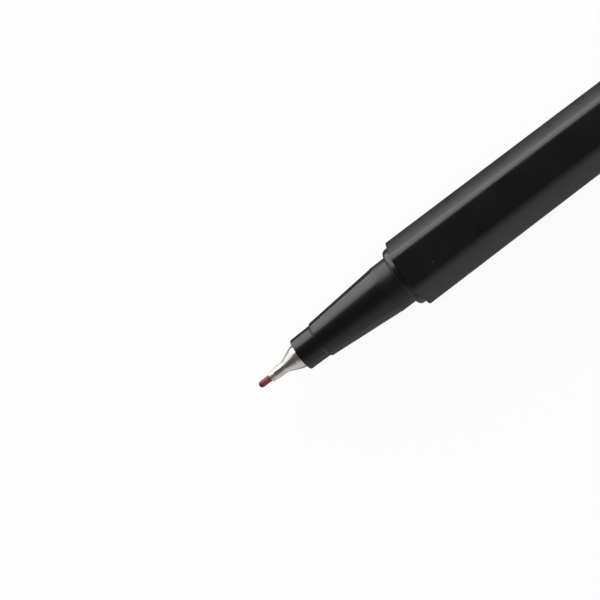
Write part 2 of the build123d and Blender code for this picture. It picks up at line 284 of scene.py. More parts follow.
def object_spot(tree):
    """A point's own place, which every pattern follows."""
    return place(tree, "ShaderNodeTexCoord").outputs["Object"]


def stretched(tree, spot, scale):
    """A place scaled by different amounts along and across the pen, for streaks."""
    return place(tree, "ShaderNodeMapping", {"Vector": spot, "Scale": scale}).outputs[0]


def noise(tree, spot, scale=1.0, detail=2.0):
    """Smooth noise around 0.5."""
    return place(tree, "ShaderNodeTexNoise", {"Vector": spot, "Scale": scale, "Detail": detail}).outputs[0]


def bump(tree, height, strength, depth):
    """A normal that follows a height."""
    return place(
        tree, "ShaderNodeBump", {"Strength": strength, "Distance": depth, "Height": height},
    ).outputs[0]


def new_tree(name, kind, inputs, outputs):
    """An empty node group with named inputs and outputs, and the sockets that its inputs come from."""
    tree = bpy.data.node_groups.new(name, kind)
    for socket, kind_of in inputs.items():
        tree.interface.new_socket(socket, in_out="INPUT", socket_type="NodeSocket" + kind_of)
    for socket, kind_of in outputs.items():
        tree.interface.new_socket(socket, in_out="OUTPUT", socket_type="NodeSocket" + kind_of)
    return tree, place(tree, "NodeGroupInput").outputs


def end_tree(tree, skin, material):
    """Ends a geometry tree in one plain mesh with its material."""
    real = place(tree, "GeometryNodeRealizeInstances", {"Geometry": skin})
    coat = place(tree, "GeometryNodeSetMaterial", {"Geometry": real.outputs[0], "Material": material})
    place(tree, "NodeGroupOutput", {"Geometry": coat.outputs[0]})


def softened_outline(tree, outline, steps):
    """The outline's chain of edges as a curve, each corner rounded by its own radius."""
    corners = place(tree, "GeometryNodeMeshToCurve", {"Mesh": outline})
    rounds = place(tree, "GeometryNodeInputNamedAttribute", {"Name": "round"}, data_type="FLOAT")
    return place(
        tree, "GeometryNodeFilletCurve",
        {"Curve": corners.outputs[0], "Count": steps, "Radius": rounds.outputs[0], "Limit Radius": True},
        mode="POLY",
    ).outputs[0]


# Geometry trees

def turned_piece_tree():
    """Turns an outline of stations and radii about the pen's axis."""
    tree, given = new_tree(
        "Turned piece", "GeometryNodeTree",
        {"Outline": "Geometry", "Around": "Int", "Round steps": "Int", "Axis height": "Float",
         "Material": "Material"},
        {"Geometry": "Geometry"},
    )
    ring_r = 10 * MM
    outline = softened_outline(tree, given["Outline"], given["Round steps"])
    upright = place(
        tree, "GeometryNodeTransform",
        {"Geometry": outline, "Translation": (-ring_r, 0, 0), "Rotation": Euler((0, 0, -math.pi / 2))},
    )
    ring = place(
        tree, "GeometryNodeCurvePrimitiveCircle", {"Resolution": given["Around"], "Radius": ring_r},
        mode="RADIUS",
    )
    skin = place(
        tree, "GeometryNodeCurveToMesh", {"Curve": ring.outputs[0], "Profile Curve": upright.outputs[0]},
    )
    lift = place(tree, "ShaderNodeCombineXYZ", {"Z": given["Axis height"]})
    laid = place(
        tree, "GeometryNodeTransform",
        {"Geometry": skin.outputs[0], "Translation": lift.outputs[0],
         "Rotation": Euler((0, math.pi / 2, 0))},
    )
    end_tree(tree, laid.outputs[0], given["Material"])
    return tree


def hexagon_bar_tree():
    """Runs a round-cornered hexagon with crowned flats along a line of stations and half flats."""
    tree, given = new_tree(
        "Hexagon bar", "GeometryNodeTree",
        {"Line": "Geometry", "Corner round": "Float", "Flat crown": "Float", "Around": "Int",
         "Axis height": "Float", "Material": "Material"},
        {"Geometry": "Geometry"},
    )
    line = place(tree, "GeometryNodeMeshToCurve", {"Mesh": given["Line"]})
    spot = split(tree, place(tree, "GeometryNodeInputPosition").outputs[0])
    sized = place(
        tree, "GeometryNodeStoreNamedAttribute",
        {"Geometry": line.outputs[0], "Name": "half_flats", "Value": spot["Y"]},
        data_type="FLOAT", domain="POINT",
    )
    on_axis = place(tree, "ShaderNodeCombineXYZ", {"X": spot["X"], "Z": given["Axis height"]})
    straight = place(
        tree, "GeometryNodeSetPosition", {"Geometry": sized.outputs[0], "Position": on_axis.outputs[0]},
    )
    hexagon = place(
        tree, "GeometryNodeCurvePrimitiveCircle",
        {"Resolution": 6, "Radius": 1 / math.cos(math.pi / 6)}, mode="RADIUS",
    )
    rounded = place(
        tree, "GeometryNodeFilletCurve",
        {"Curve": hexagon.outputs[0], "Count": 12, "Radius": given["Corner round"]}, mode="POLY",
    )
    even = place(
        tree, "GeometryNodeResampleCurve", {"Curve": rounded.outputs[0], "Count": given["Around"]},
        mode="COUNT",
    )
    rim = place(tree, "GeometryNodeInputPosition").outputs[0]
    xy = split(tree, rim)
    turn = sums(tree, "ARCTAN2", xy["Y"], xy["X"])
    from_middle = sums(tree, "SUBTRACT", sums(tree, "FLOORED_MODULO", turn, math.pi / 3), math.pi / 6)
    slope = sums(tree, "TANGENT", from_middle)
    drop = sums(tree, "MULTIPLY", sums(tree, "MULTIPLY", slope, slope), given["Flat crown"])
    drawn_in = place(
        tree, "ShaderNodeVectorMath", {0: rim, "Scale": sums(tree, "SUBTRACT", 1.0, drop)},
        operation="SCALE",
    )
    crowned = place(
        tree, "GeometryNodeSetPosition", {"Geometry": even.outputs[0], "Position": drawn_in.outputs[0]},
    )
    half = place(tree, "GeometryNodeInputNamedAttribute", {"Name": "half_flats"}, data_type="FLOAT")
    bar = place(
        tree, "GeometryNodeCurveToMesh",
        {"Curve": straight.outputs[0], "Profile Curve": crowned.outputs[0], "Scale": half.outputs[0],
         "Fill Caps": True},
    )
    end_tree(tree, bar.outputs[0], given["Material"])
    return tree


def ring_of_bars_tree():
    """Straight bars along the pen, spread evenly round its axis."""
    tree, given = new_tree(
        "Ring of bars", "GeometryNodeTree",
        {"Count": "Int", "Turn": "Float", "First turn": "Float", "Middle": "Vector",
         "Radius": "Float", "Size": "Vector", "Material": "Material"},
        {"Geometry": "Geometry"},
    )
    spots = place(
        tree, "GeometryNodeMeshLine",
        {"Count": given["Count"], "Start Location": given["Middle"], "Offset": (0, 0, 0)}, mode="OFFSET",
    )
    number = place(tree, "GeometryNodeInputIndex").outputs[0]
    angle = sums(tree, "MULTIPLY_ADD", number, given["Turn"], given["First turn"])
    turn = place(tree, "ShaderNodeCombineXYZ", {"X": angle}).outputs[0]
    bar = place(tree, "GeometryNodeMeshCube", {"Size": given["Size"]})
    outwards = place(tree, "ShaderNodeCombineXYZ", {"Y": given["Radius"]}).outputs[0]
    moved = place(tree, "GeometryNodeTransform", {"Geometry": bar.outputs[0], "Translation": outwards})
    bars = place(
        tree, "GeometryNodeInstanceOnPoints",
        {"Points": spots.outputs[0], "Instance": moved.outputs[0], "Rotation": turn},
    )
    end_tree(tree, bars.outputs[0], given["Material"])
    return tree


TURNED = turned_piece_tree()
HEXAGON = hexagon_bar_tree()
BARS = ring_of_bars_tree()


# Mesh helpers

def in_scene(name, data):
    """A new object for a mesh, lamp or camera."""
    thing = bpy.data.objects.new(name, data)
    bpy.context.scene.collection.objects.link(thing)
    return thing


def chain(name, points, closed=True):
    """An outline as a chain of edges. Each point has a station, a radius and the round of its corner."""
    mesh = bpy.data.meshes.new(name)
    edges = [(i, i + 1) for i in range(len(points) - 1)]
    if closed:
        edges.append((len(points) - 1, 0))
    mesh.from_pydata([(point[0], point[1], 0) for point in points], edges, [])
    rounds = mesh.attributes.new("round", "FLOAT", "POINT")
    for i, point in enumerate(points):
        rounds.data[i].value = point[2] if len(point) > 2 else 0
    return mesh


def settle(piece):
    """Makes a piece's modifiers part of its mesh, then closes its seams and turns its faces outwards."""
    depsgraph = bpy.context.evaluated_depsgraph_get()
    mesh = bpy.data.meshes.new_from_object(piece.evaluated_get(depsgraph), depsgraph=depsgraph)
    piece.modifiers.clear()
    base = piece.data
    piece.data = mesh
    bpy.data.meshes.remove(base)
    mesh.name = piece.name
    shell = bmesh.new()
    shell.from_mesh(mesh)
    bmesh.ops.remove_doubles(shell, verts=shell.verts, dist=WELD)
    bmesh.ops.recalc_face_normals(shell, faces=shell.faces)
    for face in shell.faces:
        face.smooth = True
    for edge in shell.edges:
        edge.smooth = edge.calc_face_angle(0) < SHARP_ANGLE
    shell.to_mesh(mesh)
    shell.free()


def grow(name, base, tree, **values):
    """Runs a tree on a base mesh and keeps the result as a plain mesh."""
    piece = in_scene(name, base)
    modifier = piece.modifiers.new(tree.name, "NODES")
    modifier.node_group = tree
    for item in tree.interface.items_tree:
        value = values.get(item.name.replace(" ", "_").lower())
        if item.in_out == "INPUT" and value is not None:
            modifier[item.identifier] = value
    settle(piece)
    return piece


def turned(name, outline, material, around=96, round_steps=8, closed=True):
    """A piece turned about the pen's axis from its outline. An open outline ends on the axis."""
    return grow(
        name, chain(name + " outline", outline, closed), TURNED, around=around, round_steps=round_steps,
        axis_height=axis_height, material=material,
    )


def bars_round(name, count, first, last, radius, depth, width, material, turn=None, first_turn=0.0):
    """Bars from one station to another, to cut out of a piece or to join to it."""
    return grow(
        name, bpy.data.meshes.new(name), BARS, count=count, turn=turn or 2 * math.pi / count,
        first_turn=first_turn, middle=((first + last) / 2, 0.0, axis_height), radius=radius,
        size=(last - first, depth, width), material=material,
    )


def combine(piece, other, operation):
    """Cuts another shape out of a piece or joins it to the piece, and drops the other shape."""
    modifier = piece.modifiers.new(operation, "BOOLEAN")
    modifier.object = other
    modifier.operation = operation
    modifier.solver = "EXACT"
    modifier.use_self = True
    settle(piece)
    bpy.data.objects.remove(other)


def stand_for(piece, node, body):
    """Even normals on the piece's flats, and its place in the frame's table."""
    normals = piece.modifiers.new("Even normals", "WEIGHTED_NORMAL")
    normals.keep_sharp = True
    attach(piece, body)
    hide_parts(node)


# Snap bead and clip

def bead_outline(radius):
    """The snap bead's outline from front to rear, on a wall of the given radius."""
    return [
        (bead_middle - BEAD_LENGTH / 2, radius),
        (bead_middle, radius + BEAD_HEIGHT),
        (bead_middle + BEAD_LENGTH / 2, radius),
    ]


def fallen_back(distance, radius):
    """How far a rounded corner falls back at a distance from its end."""
    if distance >= radius:
        return 0.0
    return radius - math.sqrt(radius ** 2 - (radius - distance) ** 2)


def clip_section(station, rooted):
    """Half width, upper and lower radius of the clip at a station."""
    taper = min((station - clip_tip) / (clip_root - clip_tip), 1)
    half_width = (CLIP_TIP_WIDTH + (CLIP_WIDTH - CLIP_TIP_WIDTH) * taper) / 2
    half_width -= fallen_back(station - clip_tip, CLIP_TIP_CORNER)
    half_width -= fallen_back(clip_heel - station, CLIP_EDGE_ROUND)
    upper = clip_top_r - fallen_back(clip_heel - station, CLIP_HEEL_ROUND)
    upper -= fallen_back(station - clip_tip, CLIP_EDGE_ROUND)
    if rooted:
        return half_width, upper, clip_foot_r
    rise = (station - clip_tip - CLIP_BUMP_LENGTH) / CLIP_RAMP_LENGTH
    rise = max(0, min(rise, 1))
    lower = clip_bump_r + (clip_under_r - clip_bump_r) * rise * rise * (3 - 2 * rise)
    lower += fallen_back(station - clip_tip, CLIP_NOSE_ROUND)
    lower -= fallen_back(clip_root - station, CLIP_THROAT_ROUND)
    return half_width, upper, lower


def clip_ring(shell, station, rooted):
    """One closed ring of the clip's skin: a rectangle with rounded corners, square where it sinks in."""
    half_width, upper, lower = clip_section(station, rooted)
    ring = []
    for quarter, (side, level) in enumerate(((1, upper), (-1, upper), (-1, lower), (1, lower))):
        soft = CLIP_FOOT_CORNER if rooted and level == lower else CLIP_EDGE_ROUND
        inwards = -1 if level == upper else 1
        for step in range(CLIP_EDGE_STEPS + 1):
            turn = (quarter + step / CLIP_EDGE_STEPS) * math.pi / 2
            y = side * (half_width - soft) + soft * math.cos(turn)
            z = level + inwards * soft + soft * math.sin(turn)
            ring.append(shell.verts.new((station, y, axis_height + z)))
    return ring


def quarter_turn(steps):
    """Even angles from 0 to a quarter of a turn."""
    return [k / steps * math.pi / 2 for k in range(steps + 1)]


def lofted_clip(material):
    """The clip's skin from its tip to its heel, with rings close together where it bends."""
    tip_end = [clip_tip + (1 - math.cos(turn)) * CLIP_TIP_CORNER for turn in quarter_turn(CLIP_TIP_STEPS)]
    ramp_front = clip_tip + CLIP_BUMP_LENGTH
    ramp_run = [ramp_front + k / CLIP_RAMP_STEPS * CLIP_RAMP_LENGTH for k in range(CLIP_RAMP_STEPS + 1)]
    throat = [
        clip_root - (1 - math.sin(turn)) * CLIP_THROAT_ROUND for turn in quarter_turn(CLIP_THROAT_STEPS)
    ]
    heel = [clip_heel - (1 - math.sin(turn)) * CLIP_HEEL_ROUND for turn in quarter_turn(CLIP_HEEL_STEPS)]
    stations = [(x, False) for x in tip_end + ramp_run + throat] + [(x, True) for x in [clip_root] + heel]
    shell = bmesh.new()
    rings = [clip_ring(shell, *station) for station in stations]
    for ring, following in zip(rings, rings[1:]):
        for k, corner in enumerate(ring):
            shell.faces.new((ring[k - 1], corner, following[k], following[k - 1]))
    shell.faces.new(rings[0])
    shell.faces.new(rings[-1])
    mesh = bpy.data.meshes.new("clip")
    shell.to_mesh(mesh)
    shell.free()
    mesh.materials.append(material)
    strip = in_scene("clip", mesh)
    settle(strip)
    return strip


# Finishes that several materials share

CLOUD_SCALE = 260.0
GRAIN_SHARE = 0.35
HAIRLINE_STRETCH = (90.0, 5200.0, 5200.0)
HAIRLINE_EDGE = (0.66, 0.74)
PATCH_SCALE = 170.0
PATCH_EDGE = (0.48, 0.62)
SPECK_SCALE = 620.0
SPECK_EDGE = (0.05, 0.02)
SPECK_RARITY = 0.80


def moulded_skin_group():
    """Fine grain and cloudy sheen of moulded plastic."""
    tree, given = new_tree(
        "Moulded skin", "ShaderNodeTree",
        {"Roughness": "Float", "Unevenness": "Float", "Grain": "Float"},
        {"Roughness": "Float", "Height": "Float"},
    )
    spot = object_spot(tree)
    cloud = noise(tree, spot, CLOUD_SCALE, detail=4.0)
    grain = noise(tree, spot, given["Grain"])
    both = sums(tree, "MULTIPLY_ADD", grain, GRAIN_SHARE, cloud)
    mean = (1 + GRAIN_SHARE) / 2
    spread = sums(tree, "MULTIPLY", sums(tree, "SUBTRACT", both, mean), given["Unevenness"])
    rough = sums(tree, "ADD", given["Roughness"], spread)
    place(tree, "NodeGroupOutput", {"Roughness": rough, "Height": grain})
    return tree


def handling_marks_group():
    """Hairlines along the pen and sparse specks of dust."""
    tree, given = new_tree(
        "Handling marks", "ShaderNodeTree",
        {"Hairlines": "Float", "Dust": "Float"},
        {"Hairline": "Float", "Speck": "Float"},
    )
    spot = object_spot(tree)
    lines = noise(tree, stretched(tree, spot, HAIRLINE_STRETCH), detail=1.0)
    thin = eased(tree, lines, *HAIRLINE_EDGE)
    patchy = eased(tree, noise(tree, spot, PATCH_SCALE), *PATCH_EDGE)
    hairline = sums(tree, "MULTIPLY", sums(tree, "MULTIPLY", thin, patchy), given["Hairlines"])
    cells = place(tree, "ShaderNodeTexVoronoi", {"Vector": spot, "Scale": SPECK_SCALE, "Randomness": 1.0})
    dot = eased(tree, cells.outputs["Distance"], *SPECK_EDGE)
    pick = place(tree, "ShaderNodeSeparateColor", {0: cells.outputs["Color"]}).outputs[0]
    rare = sums(tree, "GREATER_THAN", pick, SPECK_RARITY)
    speck = sums(tree, "MULTIPLY", sums(tree, "MULTIPLY", dot, rare), given["Dust"])
    place(tree, "NodeGroupOutput", {"Hairline": hairline, "Speck": speck})
    return tree


def rings_group():
    """Fine rings round the pen, as drawing and sliding fits leave them."""
    tree, given = new_tree(
        "Rings round the pen", "ShaderNodeTree",
        {"Fineness": "Float"},
        {"Ring": "Float"},
    )
    station = split(tree, object_spot(tree))["X"]
    rings = place(
        tree, "ShaderNodeTexNoise", {"W": station, "Scale": given["Fineness"], "Detail": 3.0},
        noise_dimensions="1D",
    ).outputs[0]
    place(tree, "NodeGroupOutput", {"Ring": rings})
    return tree


SKIN = moulded_skin_group()
MARKS = handling_marks_group()
RINGS = rings_group()


# Materials

def new_material(name):
    """An empty node material and its shader."""
    material = bpy.data.materials.new(name)
    material.use_nodes = True
    return material, material.node_tree, material.node_tree.nodes["Principled BSDF"]


def shared(tree, group, **values):
    """A shared finish with its own values, and its results."""
    inputs = {name.capitalize(): value for name, value in values.items()}
    return place(tree, "ShaderNodeGroup", inputs, node_tree=group).outputs


def feed(tree, shader, sources):
    """Links results to the shader's sockets."""
    for socket, source in sources.items():
        tree.links.new(source, shader.inputs[socket])


def station_band(tree, start, end, soft):
    """A mask that is 1 between two stations along the pen and fades over a short length."""
    station = split(tree, object_spot(tree))["X"]
    behind_start = eased(tree, station, start - soft, start + soft)
    ahead_of_end = eased(tree, station, end + soft, end - soft)
    return sums(tree, "MULTIPLY", behind_start, ahead_of_end)


DUST_GREY = (0.30, 0.29, 0.28, 1)
HAIRLINE_DULLING = 0.25
GRAIN_DEPTH = 0.02 * MM
LAND_FADE = 0.45 * MM
LAND_DULLING = 0.05
LAND_RING_DULLING = 0.20


def moulded_plastic(name, colour, roughness, unevenness=0.16, grain=5200.0, strength=0.10, worn_land=None):
    """Moulded plastic with grain, hairlines and dust, rubbed dull where a cap slides on."""
    material, tree, shader = new_material(name)
    skin = shared(tree, SKIN, roughness=roughness, unevenness=unevenness, grain=grain)
    marks = shared(tree, MARKS, hairlines=0.5, dust=0.3)
    rough = sums(tree, "MULTIPLY_ADD", marks["Hairline"], HAIRLINE_DULLING, skin["Roughness"])
    height = sums(tree, "SUBTRACT", skin["Height"], marks["Hairline"])
    if worn_land:
        land = station_band(tree, *worn_land, LAND_FADE)
        rings = shared(tree, RINGS, fineness=9000.0)["Ring"]
        dulled = sums(tree, "MULTIPLY_ADD", rings, LAND_RING_DULLING, LAND_DULLING)
        rough = sums(tree, "ADD", rough, sums(tree, "MULTIPLY", land, dulled))
    feed(tree, shader, {
        "Base Color": blend(tree, marks["Speck"], (*colour, 1), DUST_GREY),
        "Roughness": rough,
        "Normal": bump(tree, height, strength, GRAIN_DEPTH),
    })
    return material


NICKEL_DULL = (0.76, 0.72, 0.675, 1)
NICKEL_BRIGHT = (0.84, 0.80, 0.755, 1)
NICKEL_RED_TINGE = (0.62, 0.30, 0.29, 1)
NICKEL_ROUGHNESS = 0.13
NICKEL_RING_DULLING = 0.10
NICKEL_HAIRLINE_DULLING = 0.15
CRIMP_DULLING = 0.24
CRIMP_FADE = 0.15 * MM
RED_TINGE_REACH = 0.30 * MM
RING_DEPTH = 0.004 * MM


def nickel_plate():
    """Bright plated metal with drawing rings, faint hairlines and a patchy red tinge at the crimp's front.
    """
    material, tree, shader = new_material("nickel")
    rings = shared(tree, RINGS, fineness=16000.0)["Ring"]
    marks = shared(tree, MARKS, hairlines=0.6, dust=0.0)
    crimped = station_band(tree, crimp_front - OVERRUN, tube_front, CRIMP_FADE)
    rough = sums(tree, "MULTIPLY_ADD", rings, NICKEL_RING_DULLING, NICKEL_ROUGHNESS)
    rough = sums(tree, "MULTIPLY_ADD", marks["Hairline"], NICKEL_HAIRLINE_DULLING, rough)
    rough = sums(tree, "MULTIPLY_ADD", crimped, CRIMP_DULLING, rough)
    haze = noise(tree, object_spot(tree), scale=900.0, detail=3.0)
    plated = blend(tree, haze, NICKEL_DULL, NICKEL_BRIGHT)
    # A patchy red tinge over the crimp's front, blended into the plated colour.
    red_tinge = station_band(tree, crimp_front - OVERRUN, crimp_front + RED_TINGE_REACH, RED_TINGE_REACH)
    feed(tree, shader, {
        "Base Color": blend(tree, sums(tree, "MULTIPLY", red_tinge, haze), plated, NICKEL_RED_TINGE),
        "Roughness": rough,
        "Normal": bump(tree, rings, strength=0.12, depth=RING_DEPTH),
    })
    shader.inputs["Metallic"].default_value = 1.0
    return material


TIP_STAIN = (
    (0.00, (0.040, 0.006, 0.011)),
    (0.22, (0.110, 0.014, 0.021)),
    (0.42, (0.220, 0.026, 0.038)),
    (0.76, (0.230, 0.028, 0.040)),
    (1.00, (0.110, 0.018, 0.021)),
)
BLOTCH_SPREAD = 0.30
STREAK_STRETCH = (500.0, 9000.0, 9000.0)
STREAK_DULLING = 0.25
STREAK_DEPTH = 0.01 * MM
TIP_ROUGHNESS = 0.28


def stained_nib():
    """Plastic rod stained by red ink: darkest at its point, paler where it dries, with fine streaks."""
    material, tree, shader = new_material("stained_tip")
    spot = object_spot(tree)
    station = split(tree, spot)["X"]
    share = place(
        tree, "ShaderNodeMapRange", {"Value": station, "From Min": tip_front, "From Max": crimp_front},
    ).outputs[0]
    blotch = noise(tree, spot, scale=2600.0, detail=3.0)
    streak = noise(tree, stretched(tree, spot, STREAK_STRETCH))
    wet = sums(tree, "MULTIPLY_ADD", sums(tree, "SUBTRACT", blotch, 0.5), BLOTCH_SPREAD, share)
    feed(tree, shader, {
        "Base Color": ramp(tree, wet, TIP_STAIN),
        "Roughness": sums(tree, "MULTIPLY_ADD", streak, STREAK_DULLING, TIP_ROUGHNESS),
        "Normal": bump(tree, streak, strength=0.20, depth=STREAK_DEPTH),
    })
    return material


FIBRE_STRETCH = (120.0, 7000.0, 7000.0)
FIBRE_DEPTH = 0.03 * MM


def fibre_bundle(name, pale, dark, roughness):
    """Bonded fibres that run along the pen."""
    material, tree, shader = new_material(name)
    fibre = noise(tree, stretched(tree, object_spot(tree), FIBRE_STRETCH), detail=3.0)
    feed(tree, shader, {
        "Base Color": blend(tree, fibre, (*dark, 1), (*pale, 1)),
        "Normal": bump(tree, fibre, strength=0.5, depth=FIBRE_DEPTH),
    })
    shader.inputs["Roughness"].default_value = roughness
    return material


BLACK = (0.0022, 0.0022, 0.0022)
GRIP_BLACK = (0.0022, 0.0022, 0.0025)
INK_RED = (0.42, 0.012, 0.025)
FIBRE_PALE = (0.50, 0.05, 0.07)
FIBRE_SOAKED = (0.20, 0.008, 0.015)
FILM_TINT = (0.62, 0.50, 0.48)
LINER_WHITE = (0.72, 0.72, 0.68)
LAND_RUB_LEAD = 0.3 * MM

black_grip = moulded_plastic(
    "black_grip", GRIP_BLACK, roughness=0.24, strength=0.16,
    worn_land=(land_front + LAND_RUB_LEAD, collar_front),
)
black_barrel = moulded_plastic(
    "black_barrel", BLACK, roughness=0.33, unevenness=0.24, grain=3000.0, strength=0.45,
)
black_cap = moulded_plastic("black_cap", BLACK, roughness=0.27)
red_plug = moulded_plastic("red_plug", INK_RED, roughness=0.30)
red_crown = moulded_plastic("red_crown", INK_RED, roughness=0.28)
nickel = nickel_plate()
stained_tip = stained_nib()
ink_fibre = fibre_bundle("ink_fibre", FIBRE_PALE, FIBRE_SOAKED, roughness=0.85)
film = moulded_plastic("film", FILM_TINT, roughness=0.22, strength=0.25)
natural_liner = moulded_plastic("natural_liner", LINER_WHITE, roughness=0.42, strength=0.15)

# Writing tip: round-ended rod with a star of ink channels
tip = turned("writing_tip_rod", [
    (tip_front, 0),
    (tip_front, tip_r, tip_r),
    (tip_rear, tip_r, TIP_TAIL_ROUND),
    (tip_rear, 0),
], stained_tip, round_steps=14, closed=False)
combine(tip, bars_round(
    "ink channels", CHANNEL_BARS, tip_front - OVERRUN, tip_rear + OVERRUN, radius=0.0, depth=CHANNEL_SPAN,
    width=CHANNEL_WIDTH, material=stained_tip, turn=math.pi / CHANNEL_BARS,
), "DIFFERENCE")
stand_for(tip, "writing_tip", "pen")

# Metal sleeve: rolled crimp, tube, flare and shank
sleeve = turned("metal_sleeve", [
    (crimp_front, tip_r + PRESS_GAP),
    (crimp_front, crimp_r, CRIMP_ROUND),
    (tube_front, crimp_r, CRIMP_REAR_ROUND),
    (tube_front + CRIMP_SHOULDER, tube_r, TUBE_FRONT_ROUND),
    (flare_front, tube_r, FLARE_ROUND),
    (shank_front, shank_r, SHANK_ROUND),
    (shank_rear, shank_r, SHANK_END_ROUND),
    (shank_rear, shank_r - SHANK_WALL),
    (shank_front + SHANK_WALL / 2, shank_r - SHANK_WALL),
    (flare_front, tube_bore_r),
    (tube_front + 2 * CRIMP_SHOULDER, tube_bore_r),
    (tube_front + CRIMP_SHOULDER, tip_r + PRESS_GAP),
], nickel, round_steps=10)
stand_for(sleeve, "metal_adapter", "pen")

# Grip section: nose, step, grip cone, cap land, collar, spigot with its bead, and the air ways of the bore
section = turned("moulded_grip", [
    (nose_front, shank_r + PRESS_GAP),
    (nose_front, NOSE_R, NOSE_ROUND),
    (step_front, nose_rear_r, STEP_ROOT_ROUND),
    (grip_front, nose_rear_r + STEP_HEIGHT, STEP_EDGE_ROUND),
    (land_front - LAND_STEP, land_r - LAND_STEP),
    (land_front, land_r),
    (collar_front, land_r, COLLAR_CORNER),
    (collar_front, collar_r, COLLAR_ROUND),
    (barrel_front, collar_r, COLLAR_CORNER),
    (barrel_front, spigot_r),
    *bead_outline(spigot_r),
    (spigot_rear, spigot_r, SPIGOT_CHAMFER),
    (spigot_rear, socket_r),
    (socket_front, socket_r),
    (socket_front, chamber_r),
    (collar_front, chamber_r),
    (guide_rear, CHAMBER_FRONT_R),
    (guide_rear, guide_r),
    (shank_rear + END_GAP, guide_r),
    (shank_rear + END_GAP, shank_r + PRESS_GAP),
], black_grip)
combine(section, bars_round(
    "guide slots", AIR_SLOT_BARS, shank_rear, guide_rear + GUIDE_SLOT_DEPTH, radius=0.0,
    depth=2 * (guide_r + GUIDE_SLOT_DEPTH), width=GUIDE_SLOT_WIDTH, material=black_grip,
    turn=math.pi / AIR_SLOT_BARS,
), "DIFFERENCE")
combine(section, bars_round(
    "socket slots", AIR_SLOT_BARS, socket_front - SOCKET_SLOT_LEAD, spigot_rear + OVERRUN, radius=0.0,
    depth=2 * (socket_r + SOCKET_SLOT_DEPTH), width=SOCKET_SLOT_WIDTH, material=black_grip,
    turn=math.pi / AIR_SLOT_BARS,
), "DIFFERENCE")
stand_for(section, "grip_section", "pen")

# Barrel: hexagon with crowned flats and softened rims, bored for the grip's spigot and the plug
barrel = grow(
    "hexagon_barrel",
    chain("barrel line", [
        (barrel_front, half_flats - RIM_ROUND),
        (barrel_front + RIM_BEND, half_flats - RIM_BEND),
        (barrel_front + RIM_ROUND, half_flats),
        (barrel_rear - RIM_ROUND, half_flats_rear),
        (barrel_rear - RIM_BEND, half_flats_rear - RIM_BEND),
        (barrel_rear, half_flats_rear - RIM_ROUND),
    ], closed=False),
    HEXAGON, corner_round=CORNER_ROUND / half_flats, flat_crown=FLAT_CROWN, around=BARREL_AROUND,
    axis_height=axis_height, material=black_barrel,
)
combine(barrel, turned("barrel bore", [
    (barrel_front - OVERRUN, 0),
    (barrel_front - OVERRUN, seat_r),
    *bead_outline(seat_r),
    (spigot_rear + END_GAP, seat_r),
    (spigot_rear + END_GAP, seat_r - BORE_STEP),
    (plug_front, bore_rear_r),
    (barrel_rear + OVERRUN, bore_rear_r),
    (barrel_rear + OVERRUN, 0),
], black_barrel, closed=False), "DIFFERENCE")
combine(barrel, bars_round(
    "centring ribs", RIB_COUNT, spigot_rear + END_GAP, plug_front, radius=(rib_r + seat_r) / 2,
    depth=seat_r - rib_r, width=RIB_WIDTH, material=black_barrel, first_turn=math.pi / 6,
), "UNION")
stand_for(barrel, "barrel", "pen")

# End plug: slotted spigot in the barrel and the post that carries the cap
plug = turned("end_post", [
    (plug_front, plug_r - PLUG_WALL),
    (plug_front, plug_r, PLUG_LEAD_ROUND),
    (barrel_rear, plug_r),
    (barrel_rear, post_r, POST_SHOULDER_ROUND),
    (post_rear - POST_CHAMFER, post_r, POST_ROUND),
    (post_rear, post_r - POST_CHAMFER, POST_ROUND),
    (post_rear, 0),
    (post_rear - PLUG_END_WALL, 0),
    (post_rear - PLUG_END_WALL, plug_r - PLUG_WALL),
], red_plug)
combine(plug, bars_round(
    "plug slots", PLUG_SLOT_COUNT, plug_front - OVERRUN, plug_front + PLUG_SLOT_LENGTH, radius=plug_r,
    depth=3 * PLUG_WALL, width=PLUG_SLOT_WIDTH, material=red_plug,
), "DIFFERENCE")
stand_for(plug, "end_plug", "pen")

# Cap shell: tube with stepped bore, liner ribs and a bent clip that narrows to its tip
cap = turned("cap_tube", [
    (cap_mouth, cap_bore_r + CAP_LEAD_IN, CAP_LIP_ROUND),
    (cap_mouth, cap_r, CAP_MOUTH_ROUND),
    (cap_rear, cap_r, CAP_REAR_ROUND),
    (cap_rear, liner_bore_r),
    (liner_shoulder, liner_bore_r),
    (liner_shoulder, cap_bore_r),
    (cap_mouth + CAP_LEAD_IN, cap_bore_r, CAP_LEAD_ROUND),
], black_cap)
combine(cap, lofted_clip(black_cap), "UNION")
combine(cap, bars_round(
    "liner ribs", RIB_COUNT, liner_shoulder + LINER_RIB_LEAD, liner_rear, radius=liner_bore_r,
    depth=2 * LINER_RIB_HEIGHT, width=LINER_RIB_WIDTH, material=black_cap, first_turn=math.pi / 6,
), "UNION")
stand_for(cap, "cap_shell", "cap")

# Cap crown: soft-edged head with vents past its spigot
crown = turned("vented_crown", [
    (crown_seat, crown_spigot_r - CROWN_WALL),
    (crown_seat, crown_spigot_r, CROWN_LEAD_ROUND),
    (cap_rear, crown_spigot_r),
    (cap_rear, cap_r, CAP_REAR_ROUND),
    (crown_rear - CROWN_CHAMFER, cap_r, CROWN_ROUND),
    (crown_rear, cap_r - CROWN_CHAMFER, CROWN_ROUND),
    (crown_rear, 0),
    (cap_rear, 0),
    (cap_rear, crown_spigot_r - CROWN_WALL),
], red_crown)
combine(crown, bars_round(
    "crown vents", VENT_COUNT, crown_seat - OVERRUN, crown_rear + OVERRUN, radius=crown_spigot_r,
    depth=2 * VENT_DEPTH, width=VENT_WIDTH, material=red_crown,
), "DIFFERENCE")
stand_for(crown, "cap_crown", "cap")

# Hidden pieces keep their solids and get their own finish
HIDDEN = {"ink_reservoir": ink_fibre, "reservoir_wrap": film, "cap_liner": natural_liner}
for node, material in HIDDEN.items():
    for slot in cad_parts[node].material_slots:
        slot.material = material


# Floor, room and lamps

